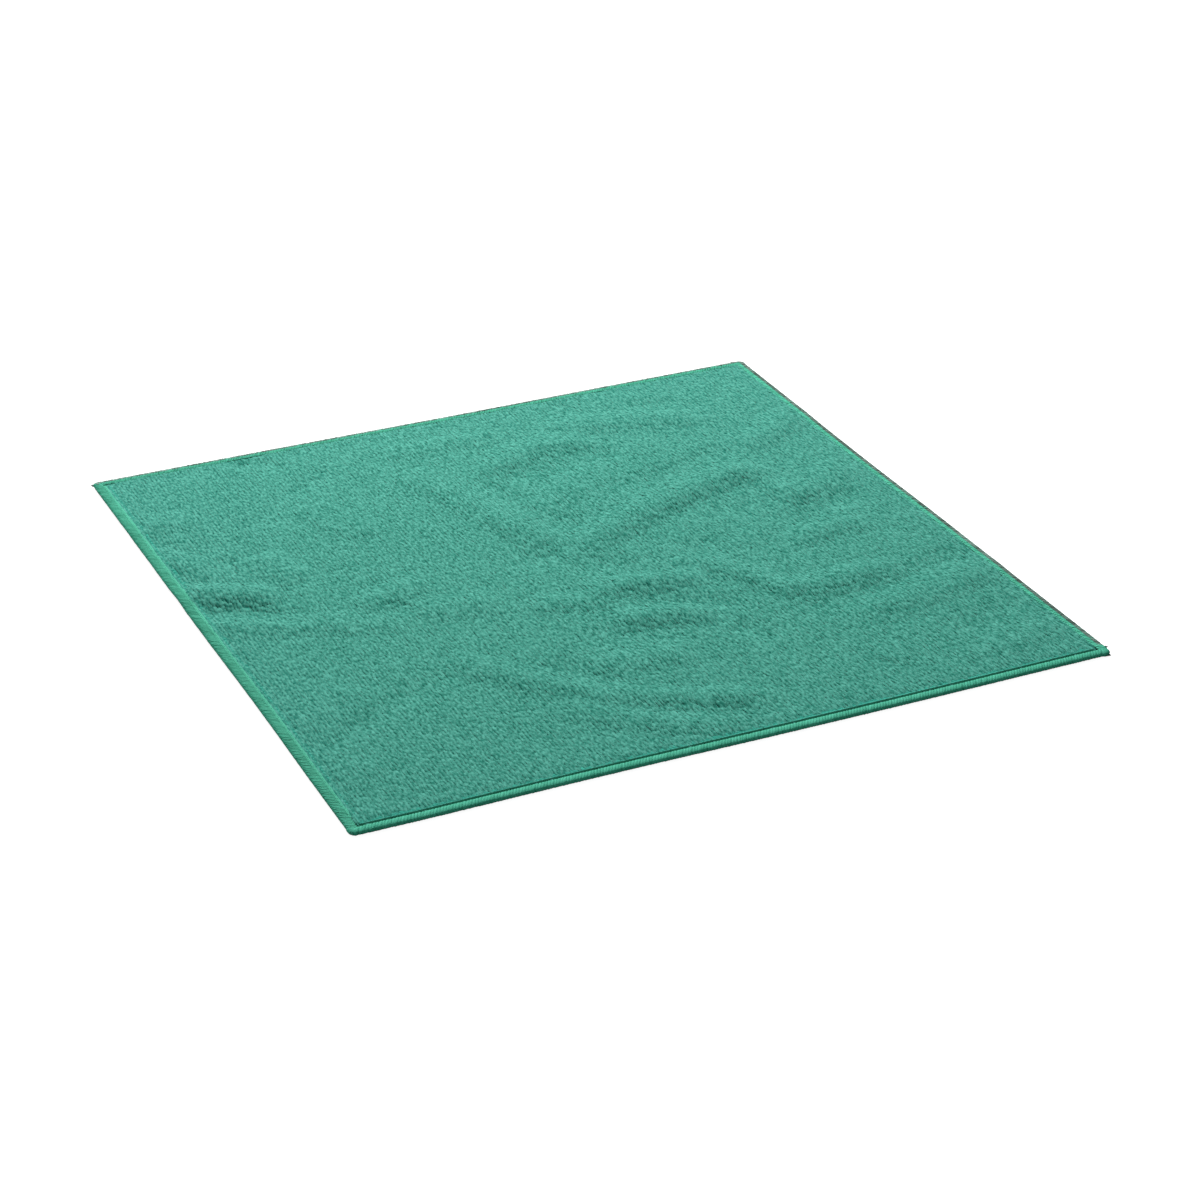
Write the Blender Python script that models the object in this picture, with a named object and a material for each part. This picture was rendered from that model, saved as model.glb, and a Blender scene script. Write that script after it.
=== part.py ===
"""A square microfibre cloth of fine terry knit, opened out on a table.

It is one piece of knit. Its cut edge is overlocked on all four sides, which leaves a rounded rim
with a groove just inside it. The cloth keeps low, soft folds from the way it was stored.
Blender units are metres, +Z is up, and the origin is the middle of the cloth on the table. The
wales of the knit run along Y, and the front edge is at -Y.
"""

from collections import namedtuple

import bmesh
import bpy

MM = 0.001

# Driving dimensions, in millimetres.
SIDE = 320.0  # the finished square, over the overlocked rims
KNIT_THICK = 2.0  # the knit with its pile, where nothing presses it
LEAST_THICK = 1.3  # the knit in its deepest trough
FIELD_INSET = 6.0  # the field of plain knit starts this far inside the outline
CORNER_PULL = 0.9  # how far the overlocking draws each corner's tip in, along X and along Y
CORNER_REACH = 7.0  # the stretch of each side, from its corner, that this bends
WAVE_DEPTH = 30.0  # a wave of the outline fades out over this distance into the cloth
EDGE_STIFF = 12.0  # the stiff rim holds the folds down over this distance from the outline
EDGE_SHARE = 0.2  # the part of a fold's height that is left at the outline
LIFT_EASE = 0.25  # rounds the line where the cloth leaves the table
FOLD_SKIRT = 1.7  # a fold ends this many half widths to each side of its crest

CELLS = 44  # squares of the mesh along one side of the field

# The overlocked rim, from the groove's inner bank over the roll of thread to the underside.
RimPoint = namedtuple("RimPoint", "inset height")
RIM = (
    RimPoint(inset=4.7, height=1.95),
    RimPoint(inset=3.8, height=1.45),
    RimPoint(inset=3.0, height=1.85),
    RimPoint(inset=1.8, height=2.20),
    RimPoint(inset=0.7, height=1.90),
    RimPoint(inset=0.0, height=1.10),
    RimPoint(inset=0.5, height=0.30),
    RimPoint(inset=1.5, height=0.00),
)

# Where the outline is drawn in a little. "along" runs from -1 to 1 over the side, towards +X or
# +Y, "half_length" is in the same measure, and "drawn_in" is in millimetres.
Wave = namedtuple("Wave", "edge along half_length drawn_in")
WAVES = (
    Wave("front", along=-1.00, half_length=0.20, drawn_in=0.6),
    Wave("front", along=-0.42, half_length=0.46, drawn_in=1.5),
    Wave("front", along=0.94, half_length=0.24, drawn_in=0.9),
    Wave("right", along=0.30, half_length=0.50, drawn_in=0.5),
    Wave("left", along=-0.35, half_length=0.45, drawn_in=0.4),
    Wave("back", along=0.10, half_length=0.55, drawn_in=0.4),
)

# The folds, in millimetres from the middle of the cloth. A fold runs from its start to its end,
# bows to the left of that line by "bow", and fades out at both ends. A ridge has a positive rise
# and stands off the table. A trough has a negative one and is pressed into the knit.
Fold = namedtuple("Fold", "x_start y_start x_end y_end bow half_width rise")
FOLDS = (
    # left: the sharp ridge and trough that run in from the edge, and what rises on both sides
    Fold(-176, 42, -120, 22, bow=4, half_width=8, rise=2.8),
    Fold(-176, 28, -112, -4, bow=4, half_width=6, rise=-0.7),
    Fold(-176, 16, -80, -22, bow=2, half_width=8, rise=1.0),
    Fold(-172, 92, -136, 48, bow=3, half_width=8, rise=1.2),
    Fold(-176, 107, -130, 109, bow=0, half_width=8, rise=1.2),
    Fold(-118, 64, -110, 32, bow=0, half_width=9, rise=1.2),
    Fold(-78, 116, -66, 58, bow=-8, half_width=10, rise=1.1),
    Fold(-96, 0, -62, 13, bow=0, half_width=8, rise=1.1),
    Fold(-78, -13, -38, -18, bow=0, half_width=9, rise=1.1),
    # middle back: the ridges that meet in a V, and the long one that its right arm becomes
    Fold(-32, 114, 0, 14, bow=0, half_width=9, rise=1.5),
    Fold(6, 8, 118, 52, bow=8, half_width=9, rise=2.4),
    Fold(94, 60, 118, 10, bow=3, half_width=8, rise=1.3),
    Fold(-4, 88, 62, 106, bow=13, half_width=9, rise=1.9),
    Fold(6, 52, 34, 70, bow=0, half_width=9, rise=0.9),
    Fold(34, 56, 118, 78, bow=-3, half_width=7, rise=-0.7),
    Fold(34, 127, 122, 106, bow=5, half_width=9, rise=1.4),
    Fold(-40, 133, 26, 131, bow=0, half_width=8, rise=0.9),
    # right back
    Fold(108, 71, 174, 102, bow=0, half_width=9, rise=1.5),
    Fold(106, 14, 154, 40, bow=0, half_width=10, rise=1.2),
    Fold(90, -21, 132, -16, bow=3, half_width=8, rise=1.2),
    # middle front: short, close ridges that step down to the right
    Fold(-34, -26, 4, -37, bow=0, half_width=7, rise=1.2),
    Fold(-8, -24, 46, -36, bow=2, half_width=7, rise=1.9),
    Fold(2, -38, 50, -60, bow=0, half_width=6, rise=-0.7),
    Fold(-8, -52, 34, -66, bow=2, half_width=7, rise=1.7),
    Fold(-26, -62, 18, -76, bow=2, half_width=7, rise=-0.6),
    Fold(-32, -83, 14, -90, bow=0, half_width=8, rise=1.1),
    Fold(40, -12, 74, -64, bow=2, half_width=7, rise=1.6),
    Fold(62, -60, 122, -57, bow=0, half_width=8, rise=1.5),
    # right front
    Fold(58, -80, 176, -46, bow=-6, half_width=7, rise=-0.7),
    Fold(84, -93, 176, -71, bow=0, half_width=9, rise=1.4),
    Fold(104, -143, 160, -126, bow=0, half_width=9, rise=0.9),
    # left front: long diagonals towards the front edge
    Fold(-80, -52, -40, -102, bow=-2, half_width=8, rise=1.3),
    Fold(-46, -96, 28, -137, bow=-4, half_width=7, rise=1.2),
    Fold(-58, -106, 6, -150, bow=-5, half_width=7, rise=1.0),
    Fold(-122, -57, -160, -86, bow=0, half_width=9, rise=0.8),
)


def fade(distance):
    """1 at distance 0, falling smoothly to 0 at distance 1 and beyond."""
    return (1 - min(abs(distance), 1) ** 2) ** 2


def fold_height(fold, x, y):
    """How far one fold raises or presses the knit at (x, y)."""
    run_x, run_y = fold.x_end - fold.x_start, fold.y_end - fold.y_start
    length = (run_x**2 + run_y**2) ** 0.5
    run_x, run_y = run_x / length, run_y / length
    off_x, off_y = x - fold.x_start, y - fold.y_start
    along = (off_x * run_x + off_y * run_y) / length
    if not 0 < along < 1:
        return 0.0
    across = off_y * run_x - off_x * run_y - fold.bow * 4 * along * (1 - along)
    end_fade = 1 - (2 * along - 1) ** 4
    return fold.rise * end_fade * fade(across / (FOLD_SKIRT * fold.half_width))


def relief(x, y):
    """The height of all the folds at (x, y), held down near the stiff rim."""
    to_edge = max(SIDE / 2 - max(abs(x), abs(y)), 0)
    held = EDGE_SHARE + (1 - EDGE_SHARE) * (1 - fade(to_edge / EDGE_STIFF))
    return held * sum(fold_height(fold, x, y) for fold in FOLDS)


def lift(x, y):
    """The gap under the cloth: nothing in the troughs, nearly the relief under the ridges."""
    height = relief(x, y)
    return height**2 / (height + LIFT_EASE) if height > 0 else 0.0


def pressed(x, y):
    """How much thinner the knit is at (x, y), in a trough."""
    return min(-min(relief(x, y), 0), KNIT_THICK - LEAST_THICK)


def outline_shift(x, y):
    """The waves of the outline and its drawn-in corners, as a move of the point (x, y)."""
    half = SIDE / 2
    sides = {
        "left": (x + half, y, (1, 0)),
        "right": (half - x, y, (-1, 0)),
        "front": (y + half, x, (0, 1)),
        "back": (half - y, x, (0, -1)),
    }
    move_x = move_y = 0.0
    for wave in WAVES:
        inside, along, inward = sides[wave.edge]
        depth = wave.drawn_in * fade(inside / WAVE_DEPTH)
        depth *= fade((along / half - wave.along) / wave.half_length)
        move_x += inward[0] * depth
        move_y += inward[1] * depth
    corner = CORNER_PULL * fade((half - abs(x)) / CORNER_REACH)
    corner *= fade((half - abs(y)) / CORNER_REACH)
    move_x -= corner if x > 0 else -corner
    move_y -= corner if y > 0 else -corner
    return move_x, move_y


def add_point(bm, across, up, inset, height, thinned=0.0):
    """A vertex at a place on the square. across and up run from -1 to 1 at every inset."""
    x, y = across * (SIDE / 2 - inset), up * (SIDE / 2 - inset)
    move_x, move_y = outline_shift(x, y)
    z = lift(x, y) + height - thinned * pressed(x, y)
    return bm.verts.new(((x + move_x) * MM, (y + move_y) * MM, z * MM))


def add_field(bm, height, thinned):
    """A square grid of vertices and faces for the top or the underside of the field."""
    steps = [2 * step / CELLS - 1 for step in range(CELLS + 1)]
    rows = [[add_point(bm, a, u, FIELD_INSET, height, thinned) for a in steps] for u in steps]
    for lower, upper in zip(rows, rows[1:]):
        for step in range(CELLS):
            bm.faces.new((lower[step], lower[step + 1], upper[step + 1], upper[step]))
    return rows


def border(rows):
    """The outer vertices of a field, once round from its front left corner."""
    front, back = rows[0], rows[-1]
    right = [row[-1] for row in rows]
    left = [row[0] for row in rows]
    return front[:-1] + right[:-1] + back[:0:-1] + left[:0:-1]


def border_places():
    """The same walk round the square, as (across, up) from -1 to 1."""
    steps = [2 * step / CELLS - 1 for step in range(CELLS)]
    front = [(step, -1.0) for step in steps]
    right = [(1.0, step) for step in steps]
    back = [(-step, 1.0) for step in steps]
    left = [(-1.0, -step) for step in steps]
    return front + right + back + left


def close_between(bm, ring, next_ring):
    """The band of faces between two rings of vertices."""
    count = len(ring)
    for here in range(count):
        after = (here + 1) % count
        bm.faces.new((ring[here], ring[after], next_ring[after], next_ring[here]))


def cloth_mesh():
    """The closed sheet: its top, the overlocked rim, and its underside."""
    bm = bmesh.new()
    rings = [border(add_field(bm, KNIT_THICK, thinned=1.0))]
    for point in RIM:
        rings.append([add_point(bm, a, u, point.inset, point.height) for a, u in border_places()])
    rings.append(border(add_field(bm, 0.0, thinned=0.0)))
    for ring, next_ring in zip(rings, rings[1:]):
        close_between(bm, ring, next_ring)
    bmesh.ops.recalc_face_normals(bm, faces=bm.faces[:])
    mesh = bpy.data.meshes.new("cloth")
    bm.to_mesh(mesh)
    bm.free()
    mesh.shade_smooth()
    return mesh


def knit_material():
    """Sea-green terry knit: fully rough, with no metal in it."""
    material = bpy.data.materials.new("terry knit")
    material.use_nodes = True
    shader = material.node_tree.nodes["Principled BSDF"]
    shader.inputs["Base Color"].default_value = (0.07, 0.33, 0.25, 1)
    shader.inputs["Roughness"].default_value = 0.95
    shader.inputs["Metallic"].default_value = 0.0
    return material


def main():
    for old in list(bpy.data.objects):
        bpy.data.objects.remove(old)
    cloth = bpy.data.objects.new("cloth", cloth_mesh())
    cloth.data.materials.append(knit_material())
    bpy.context.scene.collection.objects.link(cloth)


main()
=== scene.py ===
# %% [markdown]
# # A microfibre cloth, opened out on a table
# The object is one square of fine terry knit. Its face is covered with small loops of yarn that
# stand in rows, called wales, and its cut edge is bound all round with overlock stitches.
# The CAD model already holds its true shape: a thin sheet with low folds. This lesson dresses that
# sheet for a close look. It builds a finer sheet on the same folds, then the loops, the stitches
# and the thread ends, and gives each of them a material.

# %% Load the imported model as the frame
import math
from collections import namedtuple

import bmesh
import bpy
import numpy as np
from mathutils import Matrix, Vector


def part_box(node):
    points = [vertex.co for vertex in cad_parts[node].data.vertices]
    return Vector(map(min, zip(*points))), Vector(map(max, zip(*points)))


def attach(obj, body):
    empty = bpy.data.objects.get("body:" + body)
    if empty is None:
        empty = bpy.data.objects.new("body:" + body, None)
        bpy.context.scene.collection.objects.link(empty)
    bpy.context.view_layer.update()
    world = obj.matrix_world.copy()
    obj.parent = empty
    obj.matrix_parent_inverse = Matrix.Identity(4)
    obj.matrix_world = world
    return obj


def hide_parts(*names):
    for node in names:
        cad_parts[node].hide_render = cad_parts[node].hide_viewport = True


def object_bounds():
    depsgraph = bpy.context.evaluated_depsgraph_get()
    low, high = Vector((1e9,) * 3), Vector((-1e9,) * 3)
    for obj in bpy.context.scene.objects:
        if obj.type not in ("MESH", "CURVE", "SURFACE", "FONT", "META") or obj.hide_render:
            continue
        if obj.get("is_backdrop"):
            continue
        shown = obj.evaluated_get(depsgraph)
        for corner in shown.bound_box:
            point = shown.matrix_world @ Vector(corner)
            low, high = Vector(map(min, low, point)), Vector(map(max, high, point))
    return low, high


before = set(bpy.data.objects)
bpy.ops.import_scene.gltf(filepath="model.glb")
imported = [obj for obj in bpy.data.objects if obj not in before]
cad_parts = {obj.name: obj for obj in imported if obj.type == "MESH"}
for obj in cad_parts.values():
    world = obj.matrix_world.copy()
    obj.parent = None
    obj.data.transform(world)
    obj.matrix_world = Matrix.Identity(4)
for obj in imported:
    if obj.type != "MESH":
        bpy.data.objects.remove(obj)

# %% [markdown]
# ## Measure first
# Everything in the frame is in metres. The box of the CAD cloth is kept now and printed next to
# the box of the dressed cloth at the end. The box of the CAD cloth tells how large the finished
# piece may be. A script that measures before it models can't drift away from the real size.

MM = 0.001

cad_low, cad_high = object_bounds()
cloth_low, cloth_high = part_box("cloth")
SIDE = round((cloth_high.x - cloth_low.x) / MM, 1)
print(f"the CAD cloth is {SIDE} mm wide and {(cloth_high.z - cloth_low.z) / MM:.1f} mm high")

# %% [markdown]
# ## The folds
# A cloth that was stored folded keeps soft, low creases when it is opened. They could be sculpted
# or simulated, but a table is easier to read and to correct: one row for each crease. It gives
# the two ends, how far the line bows to its left, its half width, and how far it rises or is
# pressed in, all in mm from the middle of the cloth. The first table repeats the folds of the CAD
# model. The second adds finer ones, which only the visual model needs.

# %% The folds of the CAD model
Fold = namedtuple("Fold", "x_start y_start x_end y_end bow half_width rise")
MAIN_FOLDS = (
    (-176, 42, -120, 22, 4, 8, 2.8),
    (-176, 28, -112, -4, 4, 6, -0.7),
    (-176, 16, -80, -22, 2, 8, 1.0),
    (-172, 92, -136, 48, 3, 8, 1.2),
    (-176, 107, -130, 109, 0, 8, 1.2),
    (-118, 64, -110, 32, 0, 9, 1.2),
    (-78, 116, -66, 58, -8, 10, 1.1),
    (-96, 0, -62, 13, 0, 8, 1.1),
    (-78, -13, -38, -18, 0, 9, 1.1),
    (-32, 114, 0, 14, 0, 9, 1.5),
    (6, 8, 118, 52, 8, 9, 2.4),
    (94, 60, 118, 10, 3, 8, 1.3),
    (-4, 88, 62, 106, 13, 9, 1.9),
    (6, 52, 34, 70, 0, 9, 0.9),
    (34, 56, 118, 78, -3, 7, -0.7),
    (34, 127, 122, 106, 5, 9, 1.4),
    (-40, 133, 26, 131, 0, 8, 0.9),
    (108, 71, 174, 102, 0, 9, 1.5),
    (106, 14, 154, 40, 0, 10, 1.2),
    (90, -21, 132, -16, 3, 8, 1.2),
    (-34, -26, 4, -37, 0, 7, 1.2),
    (-8, -24, 46, -36, 2, 7, 1.9),
    (2, -38, 50, -60, 0, 6, -0.7),
    (-8, -52, 34, -66, 2, 7, 1.7),
    (-26, -62, 18, -76, 2, 7, -0.6),
    (-32, -83, 14, -90, 0, 8, 1.1),
    (40, -12, 74, -64, 2, 7, 1.6),
    (62, -60, 122, -57, 0, 8, 1.5),
    (58, -80, 176, -46, -6, 7, -0.7),
    (84, -93, 176, -71, 0, 9, 1.4),
    (104, -143, 160, -126, 0, 9, 0.9),
    (-80, -52, -40, -102, -2, 8, 1.3),
    (-46, -96, 28, -137, -4, 7, 1.2),
    (-58, -106, 6, -150, -5, 7, 1.0),
    (-122, -57, -160, -86, 0, 9, 0.8),
)

# %% Finer folds, for the visual model alone
FINE_FOLDS = (
    # back
    (75, 23, 94, 16, 0, 8, -0.6),
    (-7, 91, 69, 97, -6, 7, -0.6),
    (-5, 94, 2, 46, 0, 6, -0.5),
    (0, 41, 23, 32, 0, 7, -0.7),
    (-18, 55, -2, 21, 0, 8, 0.6),
    (87, 133, 114, 129, 0, 6, -0.6),
    (46, 144, 64, 149, 0, 8, -0.5),
    (-98, 146, -80, 151, 0, 10, -0.7),
    (-62, 130, -110, 85, 0, 6, -0.5),
    (-165, 97, -142, 75, 0, 7, -0.7),
    (-141, 59, -128, 57, 0, 7, -0.7),
    (-30, 114, -14, 82, 0, 9, 0.5),
    (-25, 14, 0, 7, 0, 8, -0.6),
    # middle
    (98, -9, 144, 14, 3, 8, -0.7),
    (-2, 0, 30, -17, 0, 8, -0.7),
    (46, -9, 62, -9, 0, 8, -0.7),
    (-87, -9, -75, -5, 0, 6, -0.6),
    (69, -16, 89, 1, 0, 7, 0.6),
    # front
    (37, -75, 48, -94, 0, 7, -0.6),
    (91, -98, 112, -98, 0, 7, -0.5),
    (110, -119, 160, -103, 0, 8, -0.5),
    (75, -129, 91, -119, 0, 8, 0.7),
    (-48, -73, -25, -103, 0, 8, -0.7),
    (-78, -61, -155, -103, 0, 6, -0.5),
    (-162, -130, -135, -113, 0, 8, 0.5),
    (32, -82, 34, -130, 0, 7, 0.5),
    (0, -120, 16, -133, 0, 7, 0.7),
    (-21, -123, -7, -134, 0, 7, -0.6),
)
FOLDS = [Fold(*row) for row in MAIN_FOLDS + FINE_FOLDS]
print(f"{len(MAIN_FOLDS)} main folds and {len(FINE_FOLDS)} finer ones")

# %% [markdown]
# A fold is a smooth bump that is drawn along a line. Its height fades to nothing on both sides and
# at both ends, so that rows may cross and simply add up. The functions take whole NumPy arrays of
# x and y, in millimetres, and return an array: one call gives the height at every vertex.

# %% The height of the cloth at any place
EDGE_STIFF = 12.0  # the stiff rim holds the folds down over this distance from the outline
EDGE_SHARE = 0.2  # the part of a fold's height that is left at the outline
LIFT_EASE = 0.25  # rounds the line where the cloth leaves the table
FOLD_SKIRT = 1.7  # a fold ends this many half widths to each side of its crest
MOST_PRESSED = 0.7  # the knit gives this much in its deepest trough


def fade(distance):
    """1 at distance 0, falling smoothly to 0 at distance 1 and beyond."""
    return (1 - np.minimum(np.abs(distance), 1) ** 2) ** 2


def fold_height(fold, x, y):
    """How far one fold raises or presses the knit at (x, y)."""
    run_x = fold.x_end - fold.x_start
    run_y = fold.y_end - fold.y_start
    length = math.hypot(run_x, run_y)
    run_x, run_y = run_x / length, run_y / length
    off_x, off_y = x - fold.x_start, y - fold.y_start
    along = np.clip((off_x * run_x + off_y * run_y) / length, 0, 1)
    across = off_y * run_x - off_x * run_y - fold.bow * 4 * along * (1 - along)
    end_fade = 1 - (2 * along - 1) ** 4
    return fold.rise * end_fade * fade(across / (FOLD_SKIRT * fold.half_width))


def relief(x, y):
    """The height of all the folds at (x, y), held down near the stiff rim."""
    to_edge = np.maximum(SIDE / 2 - np.maximum(np.abs(x), np.abs(y)), 0)
    held = EDGE_SHARE + (1 - EDGE_SHARE) * (1 - fade(to_edge / EDGE_STIFF))
    return held * sum(fold_height(fold, x, y) for fold in FOLDS)


def lift(x, y):
    """The gap under the cloth: nothing in the troughs, nearly the relief under the ridges."""
    height = np.maximum(relief(x, y), 0)
    return height**2 / (height + LIFT_EASE)


def pressed(x, y):
    """How much thinner the knit is at (x, y), in a trough."""
    return np.minimum(-np.minimum(relief(x, y), 0), MOST_PRESSED)


sample = np.linspace(-150, 150, 201)
heights = lift(*np.meshgrid(sample, sample))
print(f"the cloth lifts off the table by up to {heights.max():.1f} mm")

# %% [markdown]
# ## The outline
# No cut cloth is a perfect square. The overlocking draws the corners in a little, and the sides
# run in very flat waves. The outline is bent by a table as well, so the sheet, the loops and the
# stitches can all call one function and stay together.

# %% Bend the square's outline
CORNER_PULL = 0.9  # how far the overlocking draws each corner's tip in, along X and along Y
CORNER_REACH = 7.0  # the stretch of each side, from its corner, that this bends
WAVE_DEPTH = 30.0  # a wave of the outline fades out over this distance into the cloth

# "along" runs from -1 to 1 over the side, and "half_length" is in the same measure. "drawn_in" is
# in millimetres, and a negative one pushes the side out.
Wave = namedtuple("Wave", "edge along half_length drawn_in")
WAVES = (
    Wave("front", along=-1.00, half_length=0.20, drawn_in=0.3),
    Wave("front", along=-0.42, half_length=0.46, drawn_in=0.35),
    Wave("front", along=0.35, half_length=0.65, drawn_in=-0.5),
    Wave("right", along=0.30, half_length=0.50, drawn_in=0.5),
    Wave("left", along=-0.35, half_length=0.45, drawn_in=0.4),
    Wave("back", along=0.10, half_length=0.55, drawn_in=0.4),
)


def wave_shift(x, y):
    """The waves of the outline, as a move of the points (x, y)."""
    half = SIDE / 2
    sides = {
        "left": (x + half, y, (1, 0)),
        "right": (half - x, y, (-1, 0)),
        "front": (y + half, x, (0, 1)),
        "back": (half - y, x, (0, -1)),
    }
    move_x, move_y = np.zeros_like(x), np.zeros_like(y)
    for wave in WAVES:
        inside, along, inward = sides[wave.edge]
        depth = wave.drawn_in * fade(inside / WAVE_DEPTH)
        depth = depth * fade((along / half - wave.along) / wave.half_length)
        move_x += inward[0] * depth
        move_y += inward[1] * depth
    return move_x, move_y


def outline_shift(x, y):
    """The waves and the drawn-in corners, as one move of the points (x, y)."""
    move_x, move_y = wave_shift(x, y)
    to_side, to_end = SIDE / 2 - np.abs(x), SIDE / 2 - np.abs(y)
    corner = CORNER_PULL * fade(to_side / CORNER_REACH) * fade(to_end / CORNER_REACH)
    return move_x - corner * np.sign(x), move_y - corner * np.sign(y)


def place(x, y, height, thinned=0.0):
    """Points on the cloth, in metres, for arrays x and y in millimetres over the flat square."""
    move_x, move_y = outline_shift(x, y)
    z = lift(x, y) + height - thinned * pressed(x, y)
    return np.stack([x + move_x, y + move_y, z], axis=-1) * MM


# %% [markdown]
# ## Helpers for node trees
# Materials and Geometry Nodes are both trees of nodes, and a script builds them in the same way:
# add a node, set its choices, and join its sockets. A few small helpers keep the later cells
# short. An input is either a plain value or another node's output, and put() sorts out which.
# Most nodes are only wanted for their first output, which output_of() returns.

# %% Helpers for node trees
NUMBER, VECTOR, COLOUR = "NodeSocketFloat", "NodeSocketVector", "NodeSocketColor"


def set_all(thing, choices):
    """Sets several properties of a node or a light by their names."""
    for name, value in choices.items():
        setattr(thing, name, value)


def put(tree, kind, inputs=(), **choices):
    """Adds a node. inputs maps a socket's name or number to a value or to another output."""
    node = tree.nodes.new(kind)
    set_all(node, choices)
    for key, value in dict(inputs).items():
        if isinstance(value, bpy.types.NodeSocket):
            tree.links.new(value, node.inputs[key])
        else:
            node.inputs[key].default_value = value
    return node


def output_of(tree, kind, inputs=(), **choices):
    """Adds a node and returns its first output."""
    return put(tree, kind, inputs, **choices).outputs[0]


def new_tree(name, kind, inputs, outputs):
    """A tree with named sockets, its inner inputs and outputs. A row is (name, type, default)."""
    tree = bpy.data.node_groups.new(name, kind)
    for in_out, rows in (("INPUT", inputs), ("OUTPUT", outputs)):
        for label, kind_of_socket, default in rows:
            socket = tree.interface.new_socket(label, in_out=in_out, socket_type=kind_of_socket)
            if default is not None:
                socket.default_value = default
    return tree, put(tree, "NodeGroupInput").outputs, put(tree, "NodeGroupOutput").inputs


def math_of(tree, operation, *values):
    """The output of one Math node."""
    return output_of(tree, "ShaderNodeMath", dict(enumerate(values)), operation=operation)


def vector_of(tree, operation, *values):
    """The output of one Vector Math node. For SCALE the second value is its Scale."""
    keys = (0, "Scale") if operation == "SCALE" else range(len(values))
    inputs = dict(zip(keys, values))
    return output_of(tree, "ShaderNodeVectorMath", inputs, operation=operation)


# %% [markdown]
# ## Two effects that the materials share
# Dyed yarn is never one flat colour: whole areas take the dye a little differently, each loop
# catches it its own way, and the fibres add a fine speckle. A shader node group mixes a dark and a
# light tone by these three shares. A second group gives the height of fine fibres for a Bump node.
# Both read Object coordinates, so the pattern has a real size and stays on the cloth. Their
# Stretch draws the pattern out along an axis, as yarn does along its wale.

# %% Shader group: dyed yarn
DYE_INPUTS = (
    ("Dark", COLOUR, (0.02, 0.15, 0.11, 1)),
    ("Light", COLOUR, (0.12, 0.45, 0.36, 1)),
    ("Shade", NUMBER, 0.5),
    ("Shade Share", NUMBER, 0.5),
    ("Area Size", NUMBER, 0.012),
    ("Area Share", NUMBER, 0.3),
    ("Speck Size", NUMBER, 0.0005),
    ("Speck Share", NUMBER, 0.4),
    ("Stretch", VECTOR, (1.0, 1.0, 1.0)),
)


def stretched_place(tree, stretch):
    """Object coordinates, divided by a stretch."""
    where = put(tree, "ShaderNodeTexCoord").outputs["Object"]
    return vector_of(tree, "DIVIDE", where, stretch)


def noise_of(tree, where, size, detail):
    """A noise whose blobs have about the given size, in metres."""
    scale = math_of(tree, "DIVIDE", 1.0, size)
    inputs = {"Vector": where, "Scale": scale, "Detail": detail}
    return put(tree, "ShaderNodeTexNoise", inputs).outputs["Fac"]


def dyed_yarn_group():
    """Mixes a dark and a light tone by a shade of its own, a broad noise and a fine one."""
    tree, given, made = new_tree(
        "dyed yarn", "ShaderNodeTree", DYE_INPUTS, [("Color", COLOUR, None)]
    )
    where = stretched_place(tree, given["Stretch"])
    own = math_of(tree, "SUBTRACT", given["Shade"], 0.5)
    level = math_of(tree, "MULTIPLY_ADD", own, given["Shade Share"], 0.5)
    for label, detail in (("Area", 2.0), ("Speck", 1.0)):
        noise = noise_of(tree, where, given[label + " Size"], detail)
        swing = math_of(tree, "SUBTRACT", noise, 0.5)
        level = math_of(tree, "MULTIPLY_ADD", swing, given[label + " Share"], level)
    level = output_of(tree, "ShaderNodeClamp", {"Value": level})
    tones = {0: level, 6: given["Dark"], 7: given["Light"]}
    mixed = put(tree, "ShaderNodeMix", tones, data_type="RGBA").outputs[2]
    tree.links.new(mixed, made["Color"])
    return tree


DYED_YARN = dyed_yarn_group()
print("group:", DYED_YARN.name, "with", len(DYE_INPUTS), "inputs")

# %% Shader group: fine fibres
def fibre_group():
    """The height of a bed of fine fibres, longer one way than the others."""
    inputs = [
        ("Fibre Size", NUMBER, 0.0003),
        ("Stretch", VECTOR, (1.0, 1.0, 1.0)),
    ]
    tree, given, made = new_tree(
        "fine fibres", "ShaderNodeTree", inputs, [("Height", NUMBER, None)]
    )
    where = stretched_place(tree, given["Stretch"])
    tree.links.new(noise_of(tree, where, given["Fibre Size"], 2.0), made["Height"])
    return tree


FINE_FIBRES = fibre_group()
print("group:", FINE_FIBRES.name)

# %% [markdown]
# ## Four materials for one cloth
# The loops, the knit ground under them and the overlock thread come from the same dye bath, but
# they don't look the same. Loops are soft, with a pale sheen of microfibre; the ground lies in
# their shade; and the thread is smoother and a little more saturated. The looper's thread is
# nearly grey. It makes the thread ends, and it is painted shadow in a thin line along the right
# and the back side, where the far edges only have shade. Each material keeps its own Principled
# shader, and the shared groups only feed it with colour and height.

# %% A material from dyed yarn
FIBRE_RELIEF = 0.3 * MM  # the height that the bump gives to the fibres at full strength
SHEEN_TINT = (0.43, 1.0, 0.9, 1)


def set_inputs(node, values):
    """Sets the sockets of a node by their names."""
    for name, value in values.items():
        node.inputs[name].default_value = value


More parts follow.
